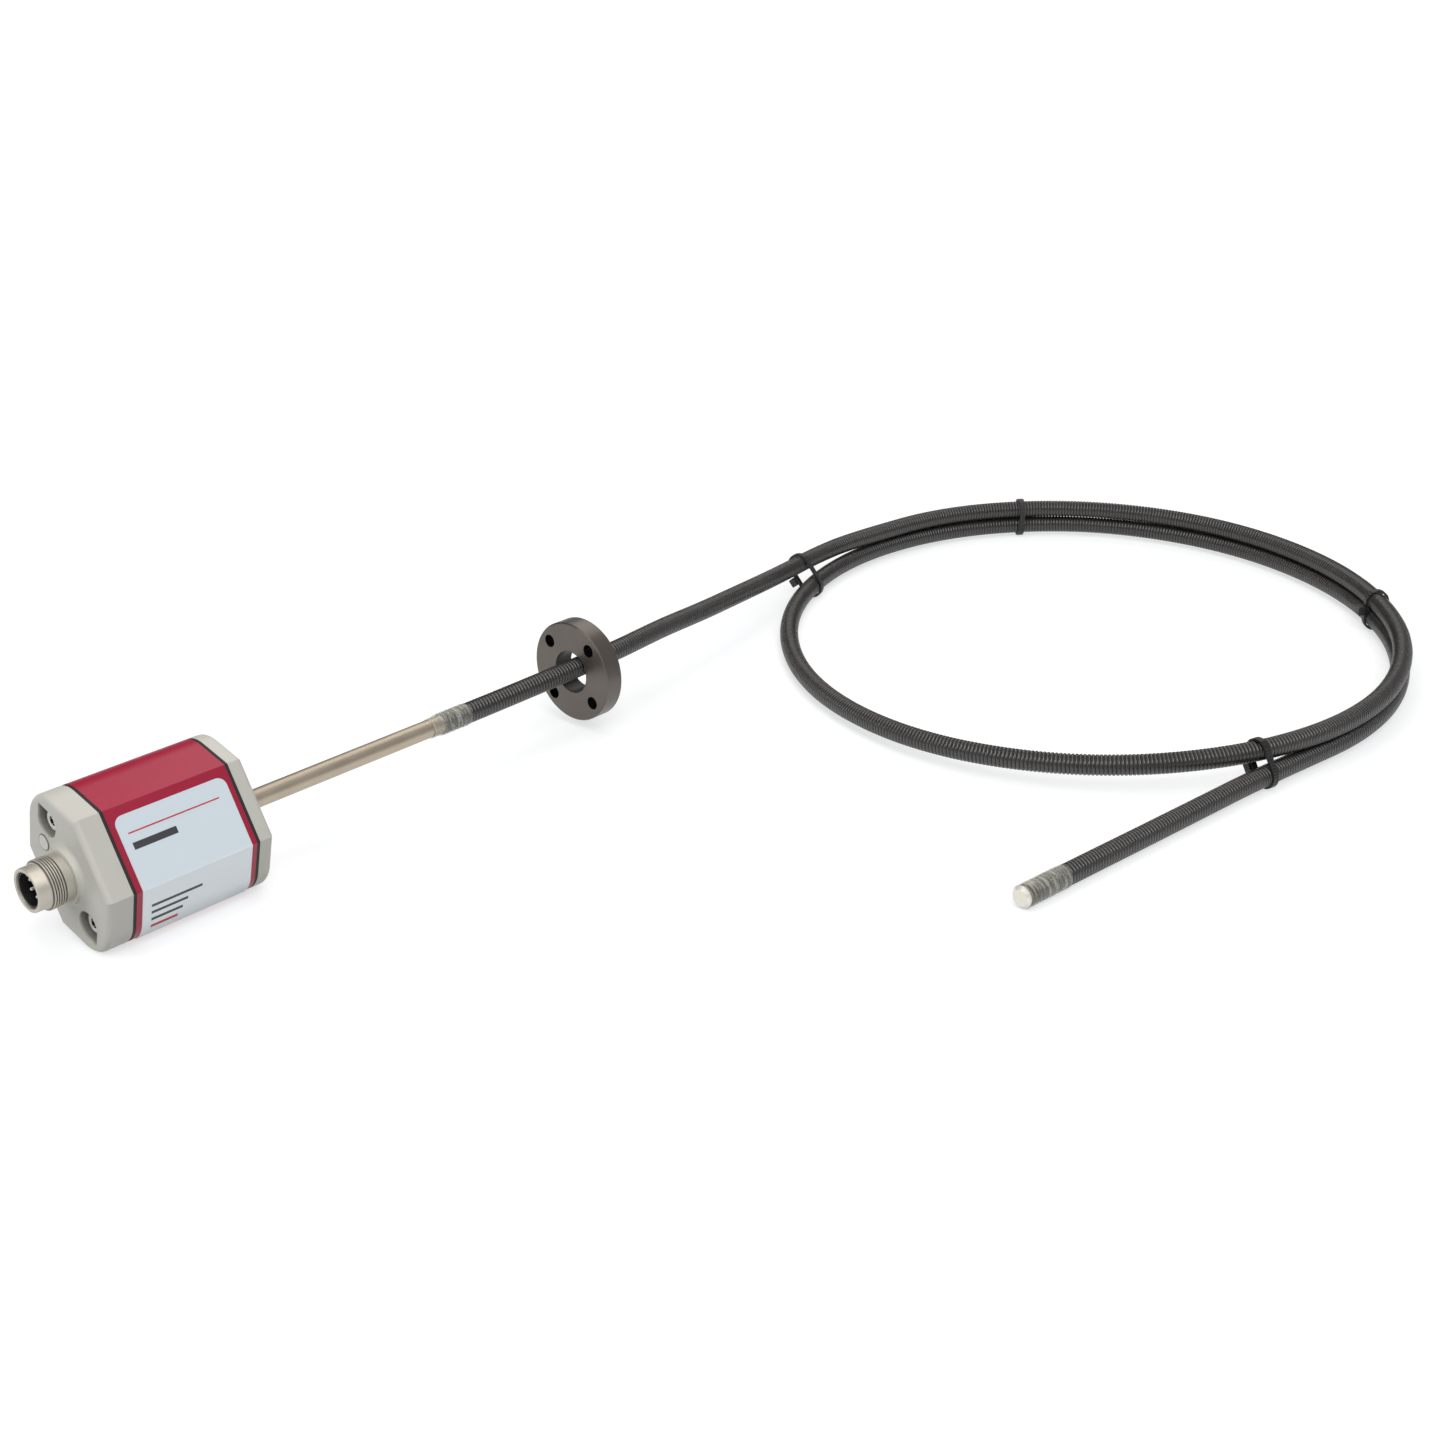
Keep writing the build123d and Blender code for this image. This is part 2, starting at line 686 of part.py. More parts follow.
with BuildPart() as return_wire:
    with BuildSketch(head_plane(-return_head)):
        with Locations((0, -return_offset)):
            Circle(return_diameter / 2)
    extrude(amount=inner_end + return_head)
export(return_wire, "return_wire")

# Rod: a thin tube from inside the head to the hose
with BuildPart() as rod:
    with BuildSketch(head_plane(-rod_root)):
        Circle(rod_diameter / 2)
        Circle(rod_diameter / 2 - rod_wall, mode=Mode.SUBTRACT)
    extrude(amount=rod_root + rod_end)
export(rod, "rod")

# Ring pressed on the rod behind the rear cover, and the seal in the cover's recess
with BuildPart() as rod_clamp_ring:
    with BuildSketch(axis_plane(-rear_cover_length)):
        Circle(clamp_ring_diameter / 2)
        Circle(rod_diameter / 2 + rod_fit, mode=Mode.SUBTRACT)
    extrude(amount=clamp_ring_length)
    chamfer(rod_clamp_ring.edges().group_by(Axis.X)[0], clamp_ring_chamfer)
export(rod_clamp_ring, "rod_clamp_ring")

with BuildPart() as rod_seal:
    with BuildSketch(head_plane(-rear_cover_length)):
        Circle(rod_seal_diameter / 2)
        Circle(rod_diameter / 2 + rod_fit, mode=Mode.SUBTRACT)
    extrude(amount=rod_seal_depth)
export(rod_seal, "rod_seal")

# Clear sleeve: shrunk down on the rod, stepping up over the end of the hose
rod_side = rod_diameter / 2 + sleeve_gap
hose_side = hose_radius + sleeve_gap
with BuildPart() as rod_sleeve:
    with BuildSketch(Plane.XY):
        with BuildLine():
            Polyline(
                (sleeve_start, rod_side),
                (sleeve_start, rod_side + sleeve_thickness),
                (rod_end - sleeve_taper, rod_side + sleeve_thickness),
                (rod_end, hose_side + sleeve_thickness),
                (sleeve_end, hose_side + sleeve_thickness),
                (sleeve_end, hose_side),
                (rod_end - sleeve_gap, hose_side),
                (rod_end - sleeve_gap, rod_side),
                close=True,
            )
        make_face()
    revolve(axis=Axis.X)
export(rod_sleeve, "rod_sleeve")


def coil_corner(angle, height):
    """A corner of the polygon that the coil runs round."""
    return coil_point(angle, height, coil_spread)


# Lead of the hose: from the rod to the start of the double stretch
outer_side = [coil_corner(coil_start + side * half_step, high_strand) for side in (1, -1)]
lead_route = lead_points + [between(*outer_side, lead_join), between(*outer_side, 0.5)]
with BuildPart() as hose_lead:
    with BuildLine() as lead_line:
        FilletPolyline(*lead_route, radius=bend_radii(lead_route))
    with BuildSketch(Plane(origin=lead_line.line @ 0, z_dir=lead_line.line % 0)):
        Circle(hose_radius)
    sweep()
export(hose_lead, "hose_lead")

# Coil: both strands of the double stretch, one above the other, joined by the single
# strand that falls from the upper level to the lower one
double_angles = [
    coil_start + half_step - step * coil_step
    for step in range(2 + round((coil_start - coil_end) / coil_step))
]
double_corners = [coil_corner(angle, low_strand) for angle in double_angles]
double_start = between(double_corners[0], double_corners[1], 0.5)
double_finish = between(double_corners[-2], double_corners[-1], 0.5)
double_route = [double_start, *double_corners[1:-1], double_finish]

falling_corners = [coil_corner(coil_end + half_step, high_strand)]
for step, height in enumerate(falling_heights):
    falling_corners.append(coil_corner(coil_end - half_step - step * coil_step, height))
falling_corners.append(coil_corner(coil_start - half_step, low_strand))
falling_start = between(falling_corners[0], falling_corners[1], 0.5)
falling_finish = between(falling_corners[-2], falling_corners[-1], 0.5)
falling_route = [falling_start, *falling_corners[1:-1], falling_finish]

with BuildPart() as hose_coil:
    with BuildLine() as double_line:
        FilletPolyline(*double_route, radius=bend_radii(double_corners))
    across_strands = Plane(
        origin=double_line.line @ 0,
        x_dir=(0, 0, 1),
        z_dir=double_line.line % 0,
    )
    with BuildSketch(across_strands):
        Circle(hose_radius)
        with Locations((strand_rise, 0)):
            Circle(hose_radius)
        with Locations((strand_rise / 2, 0)):
            Rectangle(strand_contact, strand_contact)
    sweep()
    with BuildLine() as falling_line:
        FilletPolyline(*falling_route, radius=bend_radii(falling_corners))
    with BuildSketch(Plane(origin=falling_line.line @ 0, z_dir=falling_line.line % 0)):
        Circle(hose_radius)
    sweep()
export(hose_coil, "hose_coil")

# Tail of the hose: from the lower strand to its closed tip
tip_direction = (Vector(*tip_centre) - Vector(*tail_points[-1])).normalized()
tail_end = tuple(Vector(*tip_centre) - tip_direction * tip_length)
tail_side = [coil_corner(coil_end + side * half_step, low_strand) for side in (1, -1)]
tail_route = [between(*tail_side, 0.5), between(*tail_side, tail_join), *tail_points, tail_end]
with BuildPart() as hose_tail:
    with BuildLine() as tail_line:
        FilletPolyline(*tail_route, radius=bend_radii(tail_route))
    with BuildSketch(Plane(origin=tail_line.line @ 0, z_dir=tail_line.line % 0)):
        Circle(hose_radius)
    sweep()
export(hose_tail, "hose_tail")

# Tip: a metal plug in line with the hose, under a clear sleeve
tip_plane = Plane(origin=tip_centre, z_dir=tuple(-tip_direction))
with BuildPart() as tip_plug:
    with BuildSketch(tip_plane):
        Circle(hose_radius)
    extrude(amount=tip_length)
    chamfer(tip_plug.faces().sort_by(Axis.X)[0].edges(), tip_chamfer)
export(tip_plug, "tip_plug")

with BuildPart() as tip_sleeve:
    with BuildSketch(tip_plane.offset(tip_sleeve_inset)):
        Circle(hose_radius + sleeve_gap + sleeve_thickness)
        Circle(hose_radius + sleeve_gap, mode=Mode.SUBTRACT)
    extrude(amount=tip_sleeve_length)
export(tip_sleeve, "tip_sleeve")

# Cable ties: a band round both strands, with its lock on one side
falling_arcs = falling_line.edges().filter_by(GeomType.CIRCLE)
falling_bend = falling_arcs.sort_by_distance(falling_corners[1])[0]
tie_places = {}
for tie_name, angle, lock_side in (("tie_back", 15, -1), ("tie_right", -75, 1)):
    before = coil_corner(angle + half_step, low_strand)
    after = coil_corner(angle - half_step, low_strand)
    lower = Vector(*between(before, after, 0.5))
    along = Vector(*after) - Vector(*before)
    tie_places[tie_name] = (lower, lower + Vector(0, 0, strand_rise), along, lock_side)
left_before = falling_corners[-3]
left_after = falling_corners[-2]
left_lower = Vector(*between(left_before, left_after, 0.5))
left_upper = Vector(*between(lead_points[left_tie_run], lead_points[left_tie_run + 1], 0.5))
left_upper_way = Vector(*lead_points[left_tie_run + 1]) - Vector(*lead_points[left_tie_run])
left_way = left_upper_way.normalized() + (Vector(*left_after) - Vector(*left_before)).normalized()
tie_places["tie_left"] = (left_lower, left_upper, left_way, -1)
front_upper = falling_bend @ front_tie_share
front_upper_way = (Vector(*falling_corners[2]) - Vector(*falling_corners[0])).normalized()
front_lower = Vector(*tail_route[0]) + (tail_line.line % 0) * front_tie_run
front_way = front_upper_way + tail_line.line % 0
tie_places["tie_front"] = (front_lower, front_upper, front_way, 1)

for tie_name, (lower, upper, along, lock_side) in tie_places.items():
    way = along.normalized()
    rise = upper - lower
    rise = rise - way * rise.dot(way)
    spacing = rise.length
    inner = 2 * (hose_radius + tie_gap)
    with BuildPart() as tie:
        with BuildSketch(Plane(origin=lower, x_dir=rise, z_dir=way)):
            with Locations((spacing / 2, 0)):
                SlotCenterToCenter(spacing, inner + 2 * tie_band)
                SlotCenterToCenter(spacing, inner, mode=Mode.SUBTRACT)
        extrude(amount=tie_width / 2, both=True)
        with BuildSketch(Plane(origin=lower, x_dir=rise, z_dir=way)):
            with Locations((spacing / 2, lock_side * (inner / 2 + tie_band + tie_lock_depth / 2))):
                RectangleRounded(tie_lock, tie_lock_depth, tie_lock_round)
        extrude(amount=tie_lock / 2, both=True)
    export(tie, tie_name)

# Ring magnet, loose round the hose: a flat ring with four through holes
magnet_centre = Plane(origin=(magnet_front, *magnet_lean), x_dir=(0, 1, 0), z_dir=(1, 0, 0))
with BuildPart() as position_magnet:
    with BuildSketch(magnet_centre):
        Circle(magnet_diameter / 2)
        Circle(magnet_bore / 2, mode=Mode.SUBTRACT)
    extrude(amount=magnet_thickness)
    rounds = position_magnet.edges().filter_by(GeomType.CIRCLE)
    rims = rounds.filter_by(lambda edge: edge.radius > (magnet_bore + magnet_diameter) / 4)
    chamfer(rims, magnet_edge)
    with BuildSketch(magnet_centre):
        hole_reach = magnet_diameter / 2 - magnet_hole_rim
        with PolarLocations(hole_reach, magnet_hole_count, start_angle=magnet_hole_turn):
            Circle(magnet_hole / 2)
    extrude(amount=magnet_thickness, mode=Mode.SUBTRACT)
export(position_magnet, "position_magnet")


def length_of(line):
    """Length along all runs and arcs of a route."""
    return sum(edge.length for edge in line.edges())


# The hose's radii, and its volumes against section times length
hose_area = pi * hose_radius**2
for route_name, route, line, piece in (
    ("lead", lead_route, lead_line, hose_lead),
    ("tail", tail_route, tail_line, hose_tail),
):
    radii = ", ".join(f"{radius:.0f}" for radius in bend_radii(route))
    print(f"{route_name}: radii {radii}")
    swept = hose_area * length_of(line)
    print(f"{route_name}: volume {piece.part.volume:.1f}, section x length {swept:.1f}")
coil_length = 2 * length_of(double_line) + length_of(falling_line)
print(f"coil: volume {hose_coil.part.volume:.1f}, section x length {hose_area * coil_length:.1f}")
print(f"hose: whole length {length_of(lead_line) + coil_length + length_of(tail_line):.1f}")
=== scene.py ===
from math import cos, pi, radians, sin

import bpy
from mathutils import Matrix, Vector


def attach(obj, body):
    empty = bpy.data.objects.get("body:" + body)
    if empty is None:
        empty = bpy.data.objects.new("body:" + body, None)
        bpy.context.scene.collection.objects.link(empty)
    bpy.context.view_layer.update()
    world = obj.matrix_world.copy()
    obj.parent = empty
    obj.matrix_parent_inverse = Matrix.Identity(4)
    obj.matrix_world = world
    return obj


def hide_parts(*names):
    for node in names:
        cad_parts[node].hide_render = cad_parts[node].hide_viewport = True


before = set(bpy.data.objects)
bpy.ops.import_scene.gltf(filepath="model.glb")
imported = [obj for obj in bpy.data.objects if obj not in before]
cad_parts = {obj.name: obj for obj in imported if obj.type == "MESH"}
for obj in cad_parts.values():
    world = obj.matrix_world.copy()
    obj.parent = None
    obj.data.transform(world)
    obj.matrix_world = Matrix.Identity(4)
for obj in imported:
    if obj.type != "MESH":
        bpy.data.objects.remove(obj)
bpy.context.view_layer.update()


# Camera: a 50 mm lens close to the head, so the head looks large and the coil recedes.
# It stands in front of the connector, to the left, and looks down at about 24 degrees.
camera_place = (-0.3175, -0.4937, 0.2879)
camera_lens = 50.43
camera_down = 24.44
camera_turn = -47.9
camera_data = bpy.data.cameras.new("camera")
camera_data.lens = camera_lens
camera_data.sensor_width = 36.0
camera_data.clip_start = 0.01
camera = bpy.data.objects.new("camera", camera_data)
camera.location = camera_place
camera.rotation_euler = (radians(90 - camera_down), 0, radians(camera_turn))
bpy.context.scene.collection.objects.link(camera)
bpy.context.scene.camera = camera
bpy.context.scene.view_settings.view_transform = "Standard"


# Front cover: a thick light grey die-cast plate, painted satin, that closes the head's front.
# It is held by two long screws and carries the connector on a low round boss.
class Value:
    """A shader number for sums: wear * 0.3 + 0.4 adds its own Math nodes."""

    def __init__(self, finish, socket):
        self.finish = finish
        self.socket = socket

    def sum(self, operation, first, second):
        return self.finish.node("ShaderNodeMath", {"operation": operation}, {0: first, 1: second})

    def __add__(self, other):
        return self.sum("ADD", self, other)

    def __sub__(self, other):
        return self.sum("SUBTRACT", self, other)

    def __mul__(self, other):
        return self.sum("MULTIPLY", self, other)


def colour(red, green, blue):
    """A colour from its screen values, 0 to 255."""
    shares = [part / 255 for part in (red, green, blue)]
    return (*[part / 12.92 if part < 0.0405 else ((part + 0.055) / 1.055) ** 2.4 for part in shares], 1)


class Finish:
    """One surface finish: a material with short calls for its nodes."""

    def __init__(self, name, **settings):
        self.material = bpy.data.materials.new(name)
        self.material.use_nodes = True
        self.tree = self.material.node_tree
        self.shader = self.tree.nodes["Principled BSDF"]
        self.place = self.node("ShaderNodeTexCoord", output="Object")
        for key, value in settings.items():
            self.set(key.replace("_", " ").title().replace("Ior", "IOR"), value)

    def node(self, kind, settings=None, sockets=None, output=0):
        """Adds a node: its settings first, then what its sockets hold or are fed by."""
        node = self.tree.nodes.new(kind)
        for key, value in (settings or {}).items():
            if key == "stops":
                while len(node.color_ramp.elements) < len(value):
                    node.color_ramp.elements.new(1)
                for stop, (place, tint) in zip(node.color_ramp.elements, value):
                    stop.position = place
                    stop.color = tint
            else:
                setattr(node, key, value)
        for key, value in (sockets or {}).items():
            self.feed(node.inputs[key], value)
        return Value(self, node.outputs[output])

    def feed(self, socket, value):
        if isinstance(value, Value):
            self.tree.links.new(value.socket, socket)
        else:
            socket.default_value = value

    def set(self, name, value):
        self.feed(self.shader.inputs[name], value)

    def grain(self, scale, detail=3.0, rough=0.5, stretch=None):
        """Noise on the piece's own place, stretched where a direction is given."""
        place = self.place
        if stretch:
            place = self.node("ShaderNodeMapping", None, {"Vector": place, "Scale": stretch}, "Vector")
        sockets = {"Vector": place, "Scale": scale, "Detail": detail, "Roughness": rough}
        return self.node("ShaderNodeTexNoise", None, sockets, "Fac")

    def between(self, share, first, second):
        """A colour between two, by a share."""
        sockets = {0: share, 6: first, 7: second}
        return self.node("ShaderNodeMix", {"data_type": "RGBA"}, sockets, 2)

    def steps(self, value, low, high):
        """0 below low, 1 above high, smooth between."""
        sockets = {"Value": value, "From Min": low, "From Max": high}
        return self.node("ShaderNodeMapRange", {"interpolation_type": "SMOOTHSTEP"}, sockets)

    def relief(self, height, distance, strength=1.0):
        """Fine relief by bump, its depth in metres."""
        sockets = {"Height": height, "Distance": distance, "Strength": strength}
        self.set("Normal", self.node("ShaderNodeBump", None, sockets, "Normal"))

    def on(self, piece):
        """Puts the finish on a piece, in place of what it has."""
        piece.data.materials.clear()
        piece.data.materials.append(self.material)

    def along(self, x, y, z):
        """How far a point lies along a direction, in metres."""
        sockets = {0: self.place, 1: (x, y, z)}
        return self.node("ShaderNodeVectorMath", {"operation": "DOT_PRODUCT"}, sockets, "Value")

    def off_axis(self, y, z):
        """Distance from an axis that lies along the rod, in metres."""
        kind = "ShaderNodeVectorMath"
        offset = self.node(kind, {"operation": "SUBTRACT"}, {0: self.place, 1: (0, y, z)}, "Vector")
        offset = self.node(kind, {"operation": "MULTIPLY"}, {0: offset, 1: (0, 1, 1)}, "Vector")
        return self.node(kind, {"operation": "LENGTH"}, {0: offset}, "Value")

    def inside(self, value, low, high, soft=0.00004):
        """1 between two places, 0 outside them, with a soft edge."""
        return self.steps(value, low - soft, low + soft) * self.steps(value, high + soft, high - soft)


screw_places = ((0.00774, 0.01440), (-0.00774, -0.01440))
pocket_reach = (0.0066, 0.0058)
cover_grey = Finish("cover_grey", specular_ior_level=0.5)
cover_grain = cover_grey.grain(2600, 2)
cover_cloud = cover_grey.grain(60, 3)
cover_tint = cover_grey.between(cover_cloud, colour(194, 192, 183), colour(202, 200, 192))
# Painted shade: the screw pockets' walls and floor below the face are darkened towards a dark grey, as if
# shaded.
pocket_shade_depth = cover_grey.inside(cover_grey.along(1, 0, 0), -0.0578, -0.0495, 0.0005)
pocket_first = cover_grey.steps(cover_grey.off_axis(*screw_places[0]), *pocket_reach)
pocket_second = cover_grey.steps(cover_grey.off_axis(*screw_places[1]), *pocket_reach)
painted_pocket_shade = pocket_first + pocket_second
cover_tint = cover_grey.between(pocket_shade_depth * painted_pocket_shade * 0.6, cover_tint, colour(88, 85, 77))
cover_grey.set("Base Color", cover_tint)
cover_grey.set("Roughness", cover_cloud * 0.12 + cover_grain * 0.08 + 0.32)
cover_grey.relief(cover_grain, 0.00002, 0.5)
cover_grey.on(bpy.data.objects["front_cover"])


# Rear cover: the same casting and paint, thinner, with the rod's bore and a flat rear face
# that seats on the machine.
cover_grey.on(bpy.data.objects["rear_cover"])


# Housing shell: an aluminium extrusion with a red anodised skin, open at both ends and closed
# by the covers. Its drawing lines run along it.
shell_red = Finish("shell_red", specular_ior_level=0.65)
shell_lines = shell_red.grain(1, 2, stretch=(60, 2500, 2500))
shell_cloud = shell_red.grain(45, 3)
shell_tint = shell_red.between(shell_cloud, colour(156, 0, 46), colour(168, 2, 54))
shell_red.set("Base Color", shell_tint)
shell_red.set("Roughness", shell_lines * 0.16 + shell_cloud * 0.06 + 0.28)
shell_red.relief(shell_lines, 0.00001, 0.5)
shell_red.on(bpy.data.objects["housing_shell"])


# Gaskets: thin black rubber rings pressed between the shell and the covers, a hair inside
# their outline.
gasket_black = Finish("gasket_black")
gasket_dust = gasket_black.grain(700, 4)
gasket_black.set("Base Color", gasket_black.between(gasket_dust, colour(22, 22, 24), colour(44, 43, 44)))
gasket_black.set("Roughness", gasket_dust * 0.25 + 0.55)
gasket_black.relief(gasket_dust, 0.00004)
for gasket in ("front_gasket", "rear_gasket"):
    gasket_black.on(bpy.data.objects[gasket])


# Label: a bluish-white plastic film stuck round the wide flat and the side below it, printed
# with plain rules and bars only, and satin laminated.
label_fold = -0.01301
label_up = (0, 0.5150, 0.8572)
label_white = Finish("label_white", specular_ior_level=0.45)
label_fine = label_white.grain(1800, 2)
label_cloud = label_white.grain(30, 2)
label_x = label_white.along(1, 0, 0)
label_u = label_white.along(*label_up)
label_bent = label_white.node("ShaderNodeMath", {"operation": "MINIMUM"}, {0: label_u - label_fold, 1: 0.0})
label_t = label_u + label_bent * 0.4142
label_paper = label_white.between(label_cloud, colour(212, 223, 231), colour(217, 227, 234))
# Painted light: below the fold the label, which faces down, is given a lighter colour to make up for the
# light it lacks.
label_painted_light_below = label_white.steps(label_u, label_fold + 0.0002, label_fold - 0.0002)
label_paper = label_white.between(label_painted_light_below, label_paper, colour(246, 252, 255))


def printed(start, end, low, high):
    """1 inside a printed bar: its two ends along the rod, its two edges across."""
    return label_white.inside(label_x, start, end) * label_white.inside(label_t, low, high)


rule_start = -0.0443
bar_start = -0.0440
bar_ends = (-0.0262, -0.0312, -0.0330)
bar_first = -0.0197
bar_pitch = 0.0026
bar_height = 0.0010
label_rule = printed(rule_start, -0.0125, 0.0040, 0.00445)
label_dark = printed(rule_start, -0.0293, -0.0010, 0.0012)
for row, bar_end in enumerate(bar_ends):
    bar_top = bar_first - bar_pitch * row
    label_dark = label_dark + printed(bar_start, bar_end, bar_top - bar_height, bar_top)
label_red_bar = printed(bar_start, -0.0345, -0.0285, -0.0275)
label_printed = label_white.between(label_dark, label_paper, colour(66, 66, 70))
label_printed = label_white.between(label_rule + label_red_bar, label_printed, colour(196, 30, 44))
label_white.set("Base Color", label_printed)
label_white.set("Roughness", label_fine * 0.08 + label_cloud * 0.05 + 0.33)
label_white.relief(label_fine, 0.00001, 0.4)
label_white.on(bpy.data.objects["label_wrap"])


# Cover screws: two long socket-head screws of pale nickel-plated steel, sunk in the front
# cover, that pull the whole head together and screw into the rear cover.
screw_nickel = Finish("screw_nickel", metallic=0.1)
screw_scuff = screw_nickel.grain(1500, 3)
screw_tint = screw_nickel.between(screw_scuff, colour(238, 236, 229), colour(250, 248, 242))
# Painted shade: the hex sockets are coloured near-black to their depth, as shaded holes.
socket_shade_reach = screw_nickel.steps(screw_nickel.along(1, 0, 0), -0.0540, -0.0545)
for screw_y, screw_z in screw_places:
    socket = screw_nickel.steps(screw_nickel.off_axis(screw_y, screw_z), 0.00174, 0.00160)
    screw_tint = screw_nickel.between(socket * socket_shade_reach, screw_tint, colour(14, 13, 12))
screw_nickel.set("Base Color", screw_tint)
screw_nickel.set("Roughness", screw_scuff * 0.2 + 0.28)
screw_nickel.relief(screw_scuff, 0.00003)
screw_nickel.on(bpy.data.objects["cover_screws"])


# Status window: a small disc of slightly frosted clear plastic, pressed into the front cover
# beside the connector.
window_clear = Finish("window_clear", ior=1.49, coat_weight=0.5)
window_haze = window_clear.grain(900, 3)
window_tint = window_clear.between(window_haze, colour(190, 187, 176), colour(206, 203, 193))
window_seam = window_clear.steps(window_clear.off_axis(0.0110, 0.0069), 0.00222, 0.00246)
window_tint = window_clear.between(window_seam * 0.85, window_tint, colour(70, 66, 60))
window_clear.set("Base Color", window_tint)
window_clear.set("Roughness", window_haze * 0.1 + 0.12)
window_clear.on(bpy.data.objects["status_lens"])


# Connector: a nickel-plated brass socket screwed into the boss: a neck, a coarse threaded
# length for the cable's coupling ring, and an open collar with a key inside.
connector_sides = 72
connector_profile = [
    (-0.05055, 0.0049),
    (-0.05055, 0.00642),
    (-0.06030, 0.00645),
    (-0.06035, 0.00758),
    (-0.06045, 0.00770),
    (-0.06315, 0.00778),
    (-0.06330, 0.00744),
    (-0.06350, 0.00744),
]
thread_pitch = 0.0008
thread_start = -0.0635
for turn in range(5):
    ridge = thread_start - turn * thread_pitch
    connector_profile += [
        (ridge - thread_pitch * 0.15, 0.00746),
        (ridge - thread_pitch * 0.32, 0.00798),
        (ridge - thread_pitch * 0.80, 0.00798),
        (ridge - thread_pitch * 0.97, 0.00746),
    ]
connector_profile += [
    (-0.06770, 0.00735),
    (-0.06785, 0.00705),
    (-0.06800, 0.00700),
    (-0.07155, 0.00700),
    (-0.07172, 0.00694),
    (-0.07180, 0.00680),
    (-0.07180, 0.00600),
    (-0.07172, 0.00585),
    (-0.07155, 0.00580),
    (-0.06265, 0.00580),
    (-0.06265, 0.00490),
]


def turned(name, profile, sides):
    """A piece turned about the rod's axis: a circle extruded and resized along a closed profile."""
    bpy.ops.object.select_all(action="DESELECT")
    start, radius = profile[0]
    bpy.ops.mesh.primitive_circle_add(
        vertices=sides, radius=radius, location=(start, 0, 0), rotation=(0, pi / 2, 0)
    )
    piece = bpy.context.object
    piece.name = name
    bpy.ops.object.transform_apply(location=True, rotation=True, scale=True)
    bpy.ops.object.mode_set(mode="EDIT")
    bpy.ops.mesh.select_all(action="SELECT")
    for (before, old), (after, new) in zip(profile, profile[1:] + profile[:1]):
        bpy.ops.mesh.extrude_region_move(TRANSFORM_OT_translate={"value": (after - before, 0, 0)})
        bpy.ops.transform.resize(value=(1, new / old, new / old), center_override=(after, 0, 0))
    bpy.ops.mesh.select_all(action="SELECT")
    bpy.ops.mesh.remove_doubles(threshold=0.000001)
    bpy.ops.mesh.normals_make_consistent(inside=False)
    bpy.ops.object.mode_set(mode="OBJECT")
    bpy.ops.object.shade_smooth_by_angle(angle=radians(30))
    return piece


socket_shell = turned("socket_shell", connector_profile, connector_sides)
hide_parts("connector_shell")
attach(socket_shell, "sensor")
connector_nickel = Finish("connector_nickel", metallic=0.6)
nickel_rings = connector_nickel.grain(1, 2, stretch=(9000, 200, 200))
nickel_cloud = connector_nickel.grain(160, 3)
# Painted shade: the thread's grooves are darkened to a dark brown grey, as if shaded.
groove_shade_depth = connector_nickel.steps(connector_nickel.off_axis(0, 0), 0.00792, 0.00760)
painted_thread_shade = connector_nickel.inside(connector_nickel.along(1, 0, 0), -0.0677, -0.0632) * groove_shade_depth
nickel_tint = connector_nickel.between(nickel_cloud, colour(190, 184, 172), colour(206, 200, 188))
nickel_tint = connector_nickel.between(painted_thread_shade * 0.85, nickel_tint, colour(60, 55, 48))
connector_nickel.set("Base Color", nickel_tint)
connector_nickel.set("Roughness", nickel_rings * 0.12 + nickel_cloud * 0.08 + 0.38)
connector_nickel.relief(nickel_rings, 0.00001, 0.5)
connector_nickel.on(socket_shell)


# Connector insert and pins: a black moulded plug that carries six bright plated pins, with a
# rubber seal under the neck and a brass nut behind the wall.
insert_black = Finish("insert_black")
insert_fine = insert_black.grain(1500, 3)
insert_black.set("Base Color", insert_black.between(insert_fine, colour(16, 16, 17), colour(34, 34, 35)))
insert_black.set("Roughness", insert_fine * 0.2 + 0.35)
insert_black.relief(insert_fine, 0.00003)
insert_black.on(bpy.data.objects["connector_insert"])
pin_plate = Finish("pin_plate", metallic=0.15)
pin_fine = pin_plate.grain(2500, 2)
pin_plate.set("Base Color", pin_plate.between(pin_fine, colour(240, 238, 230), colour(252, 250, 244)))
pin_plate.set("Roughness", pin_fine * 0.12 + 0.14)
pin_plate.on(bpy.data.objects["connector_pins"])
gasket_black.on(bpy.data.objects["connector_seal"])
brass = Finish("turned_brass", metallic=1.0)
brass_lines = brass.grain(1, 2, stretch=(300, 4000, 4000))
brass.set("Base Color", brass.between(brass_lines, colour(196, 160, 92), colour(218, 184, 118)))
brass.set("Roughness", brass_lines * 0.2 + 0.22)
for brass_piece in ("connector_lock_nut", "board_spacers", "rod_clamp_ring"):
    brass.on(bpy.data.objects[brass_piece])


# Circuit boards: two green glass-fibre boards joined by a header and four brass spacers, with
# soldered chips outside and an amber ribbon to the connector.
board_green = Finish("board_green", coat_weight=0.4)
board_tracks = board_green.node(
    "ShaderNodeTexBrick",
    {"offset": 0.5},
    {
        "Vector": board_green.place,
        "Scale": 320.0,
        "Mortar Size": 0.06,
        "Color1": colour(18, 78, 44),
        "Color2": colour(24, 90, 50),
        "Mortar": colour(52, 124, 74),
    },
    "Color",
)
board_weave = board_green.grain(1400, 3)
board_green.set("Base Color", board_green.between(board_weave * 0.4, board_tracks, colour(30, 84, 50)))
board_green.set("Roughness", board_weave * 0.2 + 0.25)
board_green.relief(board_weave, 0.00002)
for board in ("main_board", "interface_board"):
    board_green.on(bpy.data.objects[board])
for chip in ("board_parts", "board_header"):
    insert_black.on(bpy.data.objects[chip])
ribbon_amber = Finish("ribbon_amber", roughness=0.3, coat_weight=0.3)
